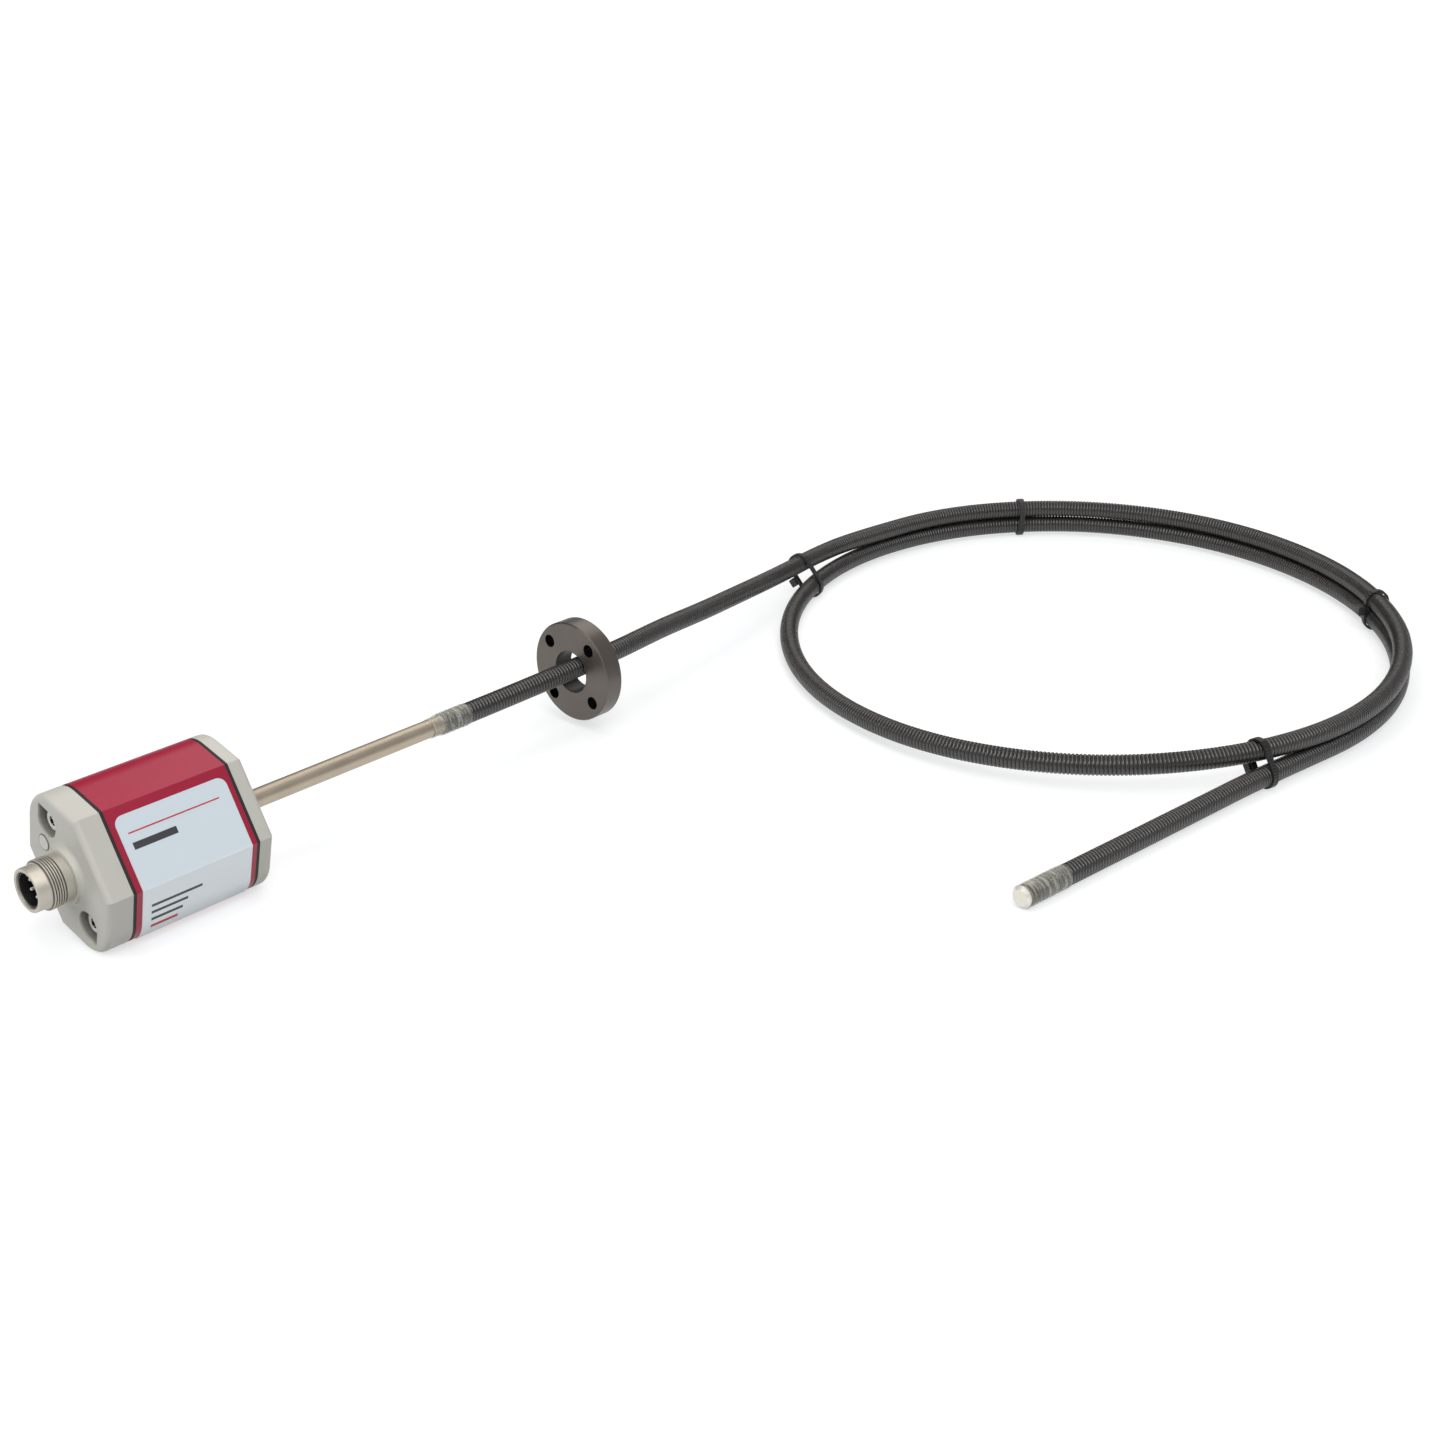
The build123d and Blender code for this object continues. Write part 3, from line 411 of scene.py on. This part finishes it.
ribbon_wires = ribbon_amber.node(
    "ShaderNodeMath", {"operation": "SINE"}, {0: ribbon_amber.along(*label_up) * (2 * pi / 0.0010)}
)
ribbon_tint = ribbon_amber.between(ribbon_wires * 0.5 + 0.5, colour(150, 84, 22), colour(198, 124, 44))
ribbon_amber.set("Base Color", ribbon_tint)
ribbon_amber.relief(ribbon_wires, 0.00005)
ribbon_amber.on(bpy.data.objects["signal_ribbon"])


# Pick-up: a moulded carrier on the inner board holds the bobbin, its copper winding and a
# small magnet over the waveguide, which ends in a soft damper.
moulding = Finish("carrier_moulding")
moulding_fine = moulding.grain(1100, 3)
moulding.set("Base Color", moulding.between(moulding_fine, colour(182, 178, 166), colour(200, 196, 184)))
moulding.set("Roughness", moulding_fine * 0.2 + 0.42)
moulding.relief(moulding_fine, 0.00003)
for moulded in ("pickup_carrier", "pickup_bobbin", "waveguide_sleeve"):
    moulding.on(bpy.data.objects[moulded])
copper = Finish("copper_wire", metallic=1.0, roughness=0.3)
copper_turns = copper.node(
    "ShaderNodeMath", {"operation": "SINE"}, {0: copper.along(1, 0, 0) * (2 * pi / 0.00025)}
)
copper.set("Base Color", copper.between(copper_turns * 0.5 + 0.5, colour(150, 78, 42), colour(206, 122, 78)))
copper.relief(copper_turns, 0.00006)
for wound in ("pickup_coil", "return_wire"):
    copper.on(bpy.data.objects[wound])
gasket_black.on(bpy.data.objects["waveguide_damper"])
screw_nickel.on(bpy.data.objects["waveguide_wire"])


# Rod: a thin-walled stainless steel tube, ground satin, that stands out of the rear cover and
# carries the waveguide to the hose. A rubber seal holds it in the cover.
rod_steel = Finish("rod_steel", metallic=0.85)
rod_lines = rod_steel.grain(1, 3, stretch=(90, 3000, 3000))
rod_cloud = rod_steel.grain(120, 3)
rod_tint = rod_steel.between(rod_cloud, colour(178, 165, 147), colour(194, 181, 163))
rod_steel.set("Base Color", rod_tint)
rod_steel.set("Roughness", rod_lines * 0.12 + rod_cloud * 0.08 + 0.32)
rod_steel.relief(rod_lines, 0.00001, 0.6)
rod_steel.on(bpy.data.objects["rod"])
gasket_black.on(bpy.data.objects["rod_seal"])


# Hose: a black ribbed plastic hose, 7.4 mm across, that holds the flexible waveguide. It leaves
# the rod's end, makes one turn and two thirds, two strands deep, and ends in its closed tip.
hose_diameter = 0.0074
hose_rib_pitch = 0.0014
hose_groove = 0.00036
hose_ribs = ((0.26, 0), (0.42, hose_groove), (0.58, hose_groove), (0.74, 0))
hose_sides = 20
coil_middle = (0.3468, -0.0947)
coil_long = 0.1358
coil_short = 0.1209
coil_turn = 32.8
coil_steps = 12
coil_spread = 1 / cos(pi / coil_steps)
low_strand = -0.018545
high_strand = -0.011085
hose_lead = [
    (0.0855, 0, 0),
    (0.108, 0, 0),
    (0.140, 0.0003, 0.00025),
    (0.172, 0.0011, 0.0005),
    (0.187, 0.0034, 0),
    (0.205, 0.007, -0.0012),
    (0.230, 0.0104, -0.0029),
    (0.252, 0.0145, -0.0044),
    (0.274, 0.019, -0.0062),
    (0.300, 0.0262, -0.0092),
    (0.327, 0.0326, -0.011),
    (0.3533, 0.0335, -0.0111),
]
hose_tail = [
    (0.2729, -0.2124, -0.01854),
    (0.240, -0.2086, -0.01885),
    (0.213, -0.2055, -0.01905),
    (0.191, -0.2029, -0.0192),
    (0.172, -0.2007, -0.0193),
    (0.15346, -0.19866, -0.01934),
]
falling_heights = [high_strand, -0.0136, -0.0168, -0.0190, -0.0187, low_strand]
coil_heights = [high_strand] * 6 + falling_heights + [low_strand] * 6


def coil_point(angle, height):
    """A point of the polygon round the coil's ellipse."""
    along = coil_long * coil_spread * cos(radians(angle))
    aside = coil_short * coil_spread * sin(radians(angle))
    c = cos(radians(coil_turn))
    s = sin(radians(coil_turn))
    return (coil_middle[0] + along * c - aside * s, coil_middle[1] + along * s + aside * c, height)


def smooth_line(name, points, fineness):
    """The points of a NURBS spline that has the given points as its control points."""
    curve = bpy.data.curves.new(name, "CURVE")
    curve.dimensions = "3D"
    spline = curve.splines.new("NURBS")
    spline.points.add(len(points) - 1)
    for control, point in zip(spline.points, points):
        control.co = (*point, 1)
    spline.order_u = 3
    spline.use_endpoint_u = True
    spline.resolution_u = fineness
    guide = bpy.data.objects.new(name, curve)
    bpy.context.scene.collection.objects.link(guide)
    bpy.context.view_layer.update()
    line = bpy.data.meshes.new_from_object(guide)
    found = [vertex.co.copy() for vertex in line.vertices]
    bpy.data.meshes.remove(line)
    bpy.data.objects.remove(guide)
    return found


def stations(line, places):
    """(point, direction) on a line at each of the rising distances along it."""
    found = []
    walked = 0.0
    index = 0
    for place in places:
        while index < len(line) - 2 and walked + (line[index + 1] - line[index]).length < place:
            walked += (line[index + 1] - line[index]).length
            index += 1
        run = line[index + 1] - line[index]
        found.append((line[index] + run.normalized() * (place - walked), run.normalized()))
    return found


def length_of(line):
    """Length of a line of points."""
    return sum((after - before).length for before, after in zip(line, line[1:]))


def round_body(name, rings, sides, closed=False):
    """A mesh of rings about a line: each ring is its middle, its direction and its radius."""
    vertices = []
    faces = []
    aside = None
    for middle, direction, radius in rings:
        if aside is None:
            aside = direction.orthogonal().normalized()
        aside = (aside - direction * aside.dot(direction)).normalized()
        over = direction.cross(aside)
        for side in range(sides):
            turn = 2 * pi * side / sides
            vertices.append(middle + (aside * cos(turn) + over * sin(turn)) * radius)
    loops = len(rings) if closed else len(rings) - 1
    for ring in range(loops):
        first = ring * sides
        second = (ring + 1) % len(rings) * sides
        for side in range(sides):
            after = (side + 1) % sides
            faces.append((first + side, first + after, second + after, second + side))
    if not closed:
        faces.append(tuple(reversed(range(sides))))
        faces.append(tuple(range(len(vertices) - sides, len(vertices))))
    mesh = bpy.data.meshes.new(name)
    mesh.from_pydata(vertices, [], faces)
    mesh.shade_smooth()
    piece = bpy.data.objects.new(name, mesh)
    bpy.context.scene.collection.objects.link(piece)
    return piece


coil_step = 360 / coil_steps
coil_corners = [coil_point(coil_step * (1 - step), height) for step, height in enumerate(coil_heights)]
hose_route = hose_lead + coil_corners + hose_tail
hose_line = smooth_line("hose_route", hose_route, 24)
rib_places = []
rib_depths = []
for rib in range(int(length_of(hose_line) / hose_rib_pitch)):
    for share, groove in hose_ribs:
        rib_places.append((rib + share) * hose_rib_pitch)
        rib_depths.append(groove)
hose_rings = [
    (point, way, hose_diameter / 2 - groove)
    for (point, way), groove in zip(stations(hose_line, rib_places), rib_depths)
]
hose = round_body("flexible_hose", hose_rings, hose_sides)

# Painted shade: each ring's groove depth is stored, and the grooves are coloured near-black by it, as if
# shaded. They are also made rougher.
groove_shade_marks = hose.data.attributes.new("groove", "FLOAT", "POINT")
groove_shade_shares = [groove / hose_groove for groove in rib_depths for side in range(hose_sides)]
groove_shade_marks.data.foreach_set("value", groove_shade_shares)

hose_black = Finish("hose_black", specular_ior_level=0.9)
hose_patch = hose_black.grain(90, 4)
hose_fine = hose_black.grain(900, 2)
painted_groove_shade = hose_black.node("ShaderNodeAttribute", {"attribute_name": "groove"}, output="Fac")
hose_tint = hose_black.between(hose_patch, colour(20, 17, 16), colour(54, 47, 43))
hose_black.set("Base Color", hose_black.between(painted_groove_shade, hose_tint, colour(4, 4, 4)))
hose_black.set("Roughness", hose_patch * 0.16 + hose_fine * 0.06 + painted_groove_shade * 0.5 + 0.16)
hose_black.relief(hose_fine, 0.00006)
hose_black.on(hose)
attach(hose, "sensor")
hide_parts("hose_lead", "hose_coil", "hose_tail")


# Clear sleeves: short lengths of transparent heat-shrink tube, one over the joint of rod and
# hose, one over the hose's closed tip. The ribs of the hose press through them.
sleeve_sides = 48
sleeve_wall = 0.00030
sleeve_glass = Finish("sleeve_glass", ior=1.46)
sleeve_streak = sleeve_glass.grain(1, 3, stretch=(1100, 160, 160))
sleeve_bands = sleeve_glass.steps(sleeve_streak, 0.50, 0.66)
sleeve_edge = sleeve_glass.node("ShaderNodeLayerWeight", None, {"Blend": 0.22}, "Facing")
sleeve_tint = sleeve_glass.between(sleeve_streak, colour(190, 190, 178), colour(226, 224, 212))
sleeve_glass.set("Base Color", sleeve_tint)
sleeve_glass.set("Alpha", sleeve_edge * 0.55 + sleeve_bands * 0.28 + 0.06)
sleeve_glass.set("Roughness", sleeve_streak * 0.12 + 0.12)
sleeve_glass.relief(sleeve_streak, 0.00003, 0.3)


def clear_sleeve(name, node, outside):
    """A tube of clear film: its outside given as rings, its inside a wall's thickness within."""
    within = [(middle, way, radius - sleeve_wall) for middle, way, radius in reversed(outside)]
    sleeve = round_body(name, outside + within, sleeve_sides, closed=True)
    bpy.ops.object.select_all(action="DESELECT")
    sleeve.select_set(True)
    bpy.context.view_layer.objects.active = sleeve
    bpy.ops.object.mode_set(mode="EDIT")
    bpy.ops.mesh.select_all(action="SELECT")
    bpy.ops.mesh.normals_make_consistent(inside=False)
    bpy.ops.object.mode_set(mode="OBJECT")
    bpy.ops.object.shade_smooth_by_angle(angle=radians(50))
    sleeve_glass.on(sleeve)
    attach(sleeve, "sensor")
    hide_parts(node)


joint_profile = [
    (0.0805, 0.00356),
    (0.0810, 0.00354),
    (0.0822, 0.00354),
    (0.0834, 0.00366),
    (0.0845, 0.00388),
    (0.0855, 0.00404),
]
joint_profile += [
    (0.0858 + 0.00025 * step, 0.00402 + 0.00005 * cos(2 * pi * step / 8))
    for step in range(46)
]
joint_rings = [(Vector((x, 0, 0)), Vector((1, 0, 0)), radius) for x, radius in joint_profile]
clear_sleeve("clear_joint_sleeve", "rod_sleeve", joint_rings)

tip_centre = Vector((0.1475, -0.198, -0.01935))
tip_way = (Vector(hose_tail[-2]) - tip_centre).normalized()
tip_rings = [
    (tip_centre + tip_way * (0.0014 + 0.00025 * step), tip_way, 0.00402 + 0.00005 * cos(2 * pi * step / 8))
    for step in range(79)
]
clear_sleeve("clear_tip_sleeve", "tip_sleeve", tip_rings)


# Tip plug: a bright turned plug, chamfered, that closes the hose's end. Only its face and front
# rim are shown bright. Under the sleeve its side is coloured dark like the hose, with lighter and
# darker stripes at the rib pitch that are painted rib light and shade.
plug_bright = Finish("plug_bright", metallic=0.35)
plug_lines = plug_bright.grain(1, 2, stretch=(5000, 300, 300))
plug_tint = plug_bright.between(plug_lines, colour(238, 232, 220), colour(250, 246, 237))
plug_way = plug_bright.along(*tip_way) - tip_centre.dot(tip_way)
painted_rib_shade = plug_bright.node(
    "ShaderNodeMath", {"operation": "SINE"}, {0: plug_way * (2 * pi / hose_rib_pitch)}
)
plug_covered = plug_bright.between(painted_rib_shade * 0.5 + 0.5, colour(20, 18, 17), colour(70, 65, 58))
plug_side = plug_bright.steps(plug_way, 0.0012, 0.0017)
plug_bright.set("Base Color", plug_bright.between(plug_side, plug_tint, plug_covered))
plug_bright.set("Roughness", plug_lines * 0.16 + 0.24)
plug_bright.on(bpy.data.objects["tip_plug"])


# Cable ties: four black nylon ties that hold the coil together, each a toothed band round
# both strands, drawn through its square lock.
tie_nylon = Finish("tie_nylon", specular_ior_level=0.5)
tie_fine = tie_nylon.grain(900, 3)
tie_nylon.set("Base Color", tie_nylon.between(tie_fine, colour(20, 19, 19), colour(38, 36, 35)))
tie_nylon.set("Roughness", tie_fine * 0.2 + 0.34)
tie_teeth = tie_nylon.node(
    "ShaderNodeMath", {"operation": "SINE"}, {0: tie_nylon.along(0, 0, 1) * (2 * pi / 0.0009)}
)
tie_nylon.relief(tie_teeth * 0.6 + tie_fine * 0.4, 0.00012)
for tie in ("tie_left", "tie_back", "tie_right", "tie_front"):
    tie_nylon.on(bpy.data.objects[tie])


# Ring magnet: a dark bonded magnet ring, turned on its faces and rim, with four screw holes
# and a wide bore, that slides along the hose with the moving machine part.
ring_centre = (0.0029, -0.0019)
ring_hole_circle = 0.01425
ring_hole_turn = 41
magnet_grey = Finish("magnet_grey", metallic=0.7)
magnet_grain = magnet_grey.grain(1700, 4)
magnet_cloud = magnet_grey.grain(70, 3)
magnet_radius = magnet_grey.off_axis(*ring_centre)
magnet_turning = magnet_grey.node(
    "ShaderNodeTexNoise",
    {"noise_dimensions": "1D"},
    {"W": magnet_radius, "Scale": 9000.0, "Detail": 2.0},
    "Fac",
)
magnet_tint = magnet_grey.between(magnet_cloud, colour(98, 91, 85), colour(112, 105, 99))
# Painted shade: the bore and the four screw holes are coloured dark, as if shaded.
painted_hole_shade = magnet_grey.steps(magnet_radius, 0.0082, 0.0079)
for quarter in range(4):
    hole_turn = radians(ring_hole_turn + 90 * quarter)
    hole_y = ring_centre[0] + ring_hole_circle * cos(hole_turn)
    hole_z = ring_centre[1] + ring_hole_circle * sin(hole_turn)
    painted_hole_shade = painted_hole_shade + magnet_grey.steps(magnet_grey.off_axis(hole_y, hole_z), 0.00250, 0.00236)
magnet_grey.set("Base Color", magnet_grey.between(painted_hole_shade, magnet_tint, colour(30, 29, 28)))
magnet_grey.set("Roughness", magnet_grain * 0.12 + magnet_cloud * 0.1 + 0.26)
magnet_grey.relief(magnet_turning * 0.8 + magnet_grain * 0.2, 0.00002)
for magnet in ("position_magnet", "bias_magnet"):
    magnet_grey.on(bpy.data.objects[magnet])


# Floor, backdrop and lamps: a white sweep under soft studio light from above and the left.
floor_level = -0.0234
bpy.ops.object.select_all(action="DESELECT")
bpy.ops.mesh.primitive_plane_add(size=8, location=(0.2, 0, floor_level))
floor = bpy.context.object
floor.name = "floor"
floor_white = Finish("floor_white", roughness=0.9, base_color=(0.45, 0.46, 0.47, 1))
rays = floor_white.tree.nodes.new("ShaderNodeLightPath")
seen = Value(floor_white, rays.outputs["Is Camera Ray"]) + Value(floor_white, rays.outputs["Is Glossy Ray"])
seen = seen + Value(floor_white, rays.outputs["Is Transmission Ray"])
reach = floor_white.node("ShaderNodeVectorMath", {"operation": "LENGTH"}, {0: floor_white.place}, "Value")
floor_glow = floor_white.between(floor_white.steps(reach, 0.5, 2.0), (1, 1, 1, 1), (1.6, 1.6, 1.6, 1))
floor_white.set("Emission Color", floor_white.between(seen, (0, 0, 0, 1), floor_glow))
floor_white.set("Emission Strength", 0.62)
floor_white.on(floor)

world = bpy.data.worlds.new("studio")
bpy.context.scene.world = world
world.use_nodes = True
sky = world.node_tree
sky_light = sky.nodes["Background"]
sky_way = sky.nodes.new("ShaderNodeTexCoord")
sky_split = sky.nodes.new("ShaderNodeSeparateXYZ")
sky_fade = sky.nodes.new("ShaderNodeMapRange")
sky_fade.inputs["From Min"].default_value = -0.9
sky_fade.inputs["From Max"].default_value = 0.9
sky_fade.inputs["To Min"].default_value = 0.38
sky_fade.inputs["To Max"].default_value = 0.12
sky.links.new(sky_way.outputs["Generated"], sky_split.inputs[0])
sky.links.new(sky_split.outputs["Y"], sky_fade.inputs["Value"])
sky.links.new(sky_fade.outputs["Result"], sky_light.inputs["Strength"])
sky_light.inputs["Color"].default_value = (0.93, 0.96, 1, 1)
sky_seen = sky.nodes.new("ShaderNodeBackground")
sky_seen.inputs["Color"].default_value = (1, 1, 1, 1)
sky_seen.inputs["Strength"].default_value = 1.0
sky_mix = sky.nodes.new("ShaderNodeMixShader")
sky_rays = sky.nodes.new("ShaderNodeLightPath")
sky.links.new(sky_rays.outputs["Is Camera Ray"], sky_mix.inputs[0])
sky.links.new(sky_light.outputs[0], sky_mix.inputs[1])
sky.links.new(sky_seen.outputs[0], sky_mix.inputs[2])
sky.links.new(sky_mix.outputs[0], sky.nodes["World Output"].inputs[0])


def lamp(name, place, aim, size, power, tint=(1, 1, 1)):
    """A soft square lamp that points at a place."""
    data = bpy.data.lights.new(name, "AREA")
    data.size = size
    data.energy = power
    data.color = tint
    light = bpy.data.objects.new(name, data)
    light.location = place
    light.rotation_euler = (Vector(aim) - Vector(place)).to_track_quat("-Z", "Y").to_euler()
    bpy.context.scene.collection.objects.link(light)


lamp("top_lamp", (0.1, 0.0, 1.5), (0.15, -0.1, 0), 1.0, 6.5, (1, 0.97, 0.91))
lamp("front_lamp", (-0.3, -0.9, 1.15), (0.05, -0.05, 0), 0.9, 10)
lamp("left_lamp", (-1.0, 0.3, 0.75), (0, 0, 0), 0.7, 5.5)
lamp("back_lamp", (1.08, 0.55, 1.04), (0.05, 0, 0), 1.0, 5, (1, 0.98, 0.95))
